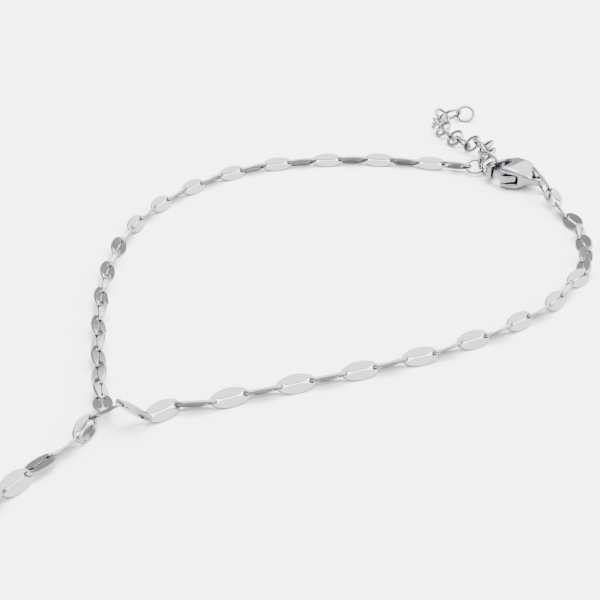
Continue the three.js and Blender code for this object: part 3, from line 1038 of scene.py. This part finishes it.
@dataclass
class Studio:
    """Pale board, soft light and the camera.

    The camera's stand is in link pitches from the route's origin. The room's and the tent's
    strengths meet where a direction's share along tent_axis goes from tent_low to tent_high.
    """

    focal_px: float = 1532.3
    frame_px: float = 600.0
    sensor_mm: float = 36.0
    elevation: float = 25.55
    roll: float = 0.98
    stand: tuple[float, float, float] = (-1.5, -45.0, 20.58)
    clip_m: tuple[float, float] = (0.005, 20.0)
    board_m: float = 3.0
    room_low: float = 1.4
    room_high: float = 9.5
    room_colour: str = "f4f5f6"
    tent_axis: tuple[float, float, float] = (0.34, 0.0, 0.94)
    tent_low: float = 0.42
    tent_high: float = 0.52
    softbox_place: tuple[float, float, float] = (0.1, 0.22, 0.65)
    softbox_size: tuple[float, float] = (0.4, 0.4)
    softbox_watts: float = 16.0

    def camera(self, shift: Vector) -> None:
        """Sets the camera where the photograph was taken from.

        Args:
            shift: the move from the route's frame to the row frame, in millimetres.
        """
        data = bpy.data.cameras.new("camera")
        data.sensor_width = self.sensor_mm
        data.lens = self.focal_px / self.frame_px * self.sensor_mm
        data.clip_start, data.clip_end = self.clip_m
        camera = bpy.data.objects.new("camera", data)
        bpy.context.scene.collection.objects.link(camera)
        down = math.radians(self.elevation)
        forward = Vector((0, math.cos(down), -math.sin(down)))
        right = Vector((1, 0, 0))
        up = Vector((0, math.sin(down), math.cos(down)))
        turn = math.radians(self.roll)
        x = right * math.cos(turn) + up * math.sin(turn)
        y = up * math.cos(turn) - right * math.sin(turn)
        place = Vector(self.stand) * PITCH + Vector((0, 0, LINK_AXIS)) + shift
        camera.matrix_world = basis(x, y, -forward, place * MM)
        bpy.context.scene.camera = camera

    def board(self, finish: MattPaper) -> None:
        """Lays the pale board under the jewel.

        Args:
            finish: what the board is made of.
        """
        clear_selection()
        bpy.ops.mesh.primitive_plane_add(size=self.board_m, location=(0, 0, 0))
        board = bpy.context.object
        board.name = "board"
        board.data.materials.append(finish.build())
        board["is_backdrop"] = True

    def softbox(self, name: str) -> None:
        """Hangs a softbox over the jewel that faces its middle.

        Args:
            name: the lamp's name.
        """
        data = bpy.data.lights.new(name, "AREA")
        data.shape = "RECTANGLE"
        data.size, data.size_y = self.softbox_size
        data.energy = self.softbox_watts
        lamp = bpy.data.objects.new(name, data)
        bpy.context.scene.collection.objects.link(lamp)
        lamp.location = self.softbox_place
        lamp.rotation_mode = "QUATERNION"
        lamp.rotation_quaternion = (-Vector(self.softbox_place)).to_track_quat("-Z", "Y")

    def room(self) -> None:
        """Puts a grey room round the board, with a bright white tent over it."""
        world = bpy.data.worlds.new("tent_room")
        bpy.context.scene.world = world
        world.use_nodes = True
        tree = world.node_tree
        tree.nodes.clear()
        place = add_node(tree, "ShaderNodeTexCoord", {}, {})
        height = add_node(
            tree, "ShaderNodeVectorMath", {"operation": "DOT_PRODUCT"},
            {"Vector": place.outputs["Generated"]},
        )
        height.inputs[1].default_value = self.tent_axis
        # the room's dim walls, then the tent, which comes down lower on the right
        wall = add_node(
            tree, "ShaderNodeMapRange",
            {"interpolation_type": "SMOOTHSTEP", "From Min": self.tent_low,
             "From Max": self.tent_high, "To Min": self.room_low, "To Max": self.room_high},
            {"Value": height.outputs["Value"]},
        )
        walls = add_node(
            tree, "ShaderNodeBackground", {"Color": linear(self.room_colour)},
            {"Strength": wall.outputs["Result"]},
        )
        add_node(tree, "ShaderNodeOutputWorld", {}, {"Surface": walls.outputs["Background"]})


def build_rings(plan: ClaspPlan, shift: Vector, steel: bpy.types.Material) -> None:
    """Builds the clasp ring, the end ring and the jump ring.

    Args:
        plan: the clasp's places.
        shift: the move to the row frame, in millimetres.
        steel: the rings' finish.
    """
    rings = [
        ("clasp_ring", plan.clasp_ring, plan.clasp_ring_frame()),
        ("end_ring", plan.end_ring, plan.end_ring_frame()),
        ("clasp_jump_ring", plan.jump_ring, plan.jump_ring_frame()),
    ]
    for node, ring, place in rings:
        piece = ring.build()
        piece.data.transform(place)
        to_row(piece, shift)
        piece.name = f"{node}_wire"
        dress(piece, steel, ROOT_BODY, node)


def build_extender(plan: ClaspPlan, shift: Vector, steel: bpy.types.Material) -> None:
    """Builds the extender's round rings as one piece.

    Args:
        plan: the clasp's places.
        shift: the move to the row frame, in millimetres.
        steel: the rings' finish.
    """
    ring = plan.extender_ring
    start = plan.clasp_ring_centre.copy()
    start.z += plan.clasp_ring.radius - (plan.clasp_ring.wire + ring.wire) / 2 - GAP
    path = [start, *[on_table(point, point[2]) for point in EXTENDER_ROUTE]]
    joints = follow(path, EXTENDER_RINGS, ring.outer - 2 * ring.wire + EXTENDER_FUSE)
    model = ring.build()
    placed = []
    for i in range(EXTENDER_RINGS):
        along = (joints[i + 1] - joints[i]).normalized()
        roll = 90 - LEAN if i % 2 == 0 else -LEAN
        centre = joints[i] + along * ring.radius
        placed.append(copy_at(model, leaning_frame(centre, along, roll)))
    remove(model)
    piece = join(placed, "extender_rings")
    fuse(piece)
    to_row(piece, shift)
    dress(piece, steel, ROOT_BODY, "extender_chain")


def build_strands(
    plan: ClaspPlan, junction: JunctionPlan, shift: Vector, steel: bpy.types.Material
) -> list[Vector]:
    """Builds the three strands of lip chain.

    Args:
        plan: the clasp's places.
        junction: the junction link's places.
        shift: the move to the row frame, in millimetres.
        steel: the chain's finish.

    Returns:
        The bars of the finger strand.
    """
    models = {kind: LipLink(kind, *form).build() for kind, form in LINK_FORMS.items()}
    left = settle(
        [on_table(point) for point in LEFT_ROUTE], LEFT_LINKS, junction.left_start(),
        plan.left_end(),
    )
    right = settle(
        [on_table(point, RIGHT_AXIS) for point in RIGHT_ROUTE], RIGHT_LINKS,
        junction.right_start(), plan.right_end(),
    )
    finger = follow(
        [junction.finger_start(), *[on_table(point) for point in FINGER_ROUTE]], FINGER_LINKS,
        PITCH,
    )
    strands = [
        Strand("left_strand", left, (LEAN, -LEAN), LEFT_ROLLS),
        Strand("right_strand", right, RIGHT_LEANS, RIGHT_ROLLS),
        Strand("finger_strand", finger, (-LEAN, LEAN), FINGER_ROLLS),
    ]
    for strand in strands:
        placed = strand.build(models)
        if strand.name == "left_strand":
            placed.append(copy_at(models[LinkKind.JUNCTION], junction.frame))
        piece = join(placed, f"{strand.name}_links")
        fuse(piece)
        to_row(piece, shift)
        dress(piece, steel, ROOT_BODY, strand.name)
    for model in models.values():
        remove(model)
    return finger


def main() -> None:
    """Builds the jewel in order and sets the studio round it."""
    logging.basicConfig(level=logging.INFO, format="%(name)s %(message)s")
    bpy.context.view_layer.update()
    plan = ClaspPlan()
    junction = JunctionPlan()
    low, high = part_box("clasp_ring")
    shift = (low + high) / 2 / MM - plan.clasp_ring_centre
    chain_steel = PolishedSteel("polished_stainless_steel_pressed").build()
    # the rings and the clasp take darker copies of the chain's steel: painted shade, standing in
    # for the darker look that shade and reflections give their small wires and forms
    ring_steel_painted_shade = PolishedSteel("polished_stainless_steel_drawn_painted_shade", colour="717274").build()
    clasp_steel_painted_shade = PolishedSteel(
        "polished_stainless_steel_cast_painted_shade", colour="7b7c7e", roughness_low=0.14,
        roughness_high=0.24, cloud_mm=2.2,
    ).build()
    studio = Studio()
    studio.camera(shift)
    finger = build_strands(plan, junction, shift, chain_steel)
    along = finger[-1] - finger[-2]
    along.z = 0
    band = join(FingerRing().build(finger[-2], along.normalized()), "finger_ring_band")
    fuse(band, BAND_EDGE)
    to_row(band, shift)
    dress(band, ring_steel_painted_shade, ROOT_BODY, "finger_ring")
    build_rings(plan, shift, ring_steel_painted_shade)
    build_extender(plan, shift, ring_steel_painted_shade)
    shells = [
        CastShell("clasp_body", ROOT_BODY, grain=0.065, rounds=90),
        CastShell("clasp_lever", LEVER_BODY, grain=0.05, rounds=6),
    ]
    for shell in shells:
        dress(shell.build(), clasp_steel_painted_shade, shell.body, shell.node)
    studio.board(MattPaper("matt_white_board"))
    studio.room()
    studio.softbox("top_softbox")
    bpy.context.view_layer.update()
    low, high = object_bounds()


if __name__ == "__main__":
    main()
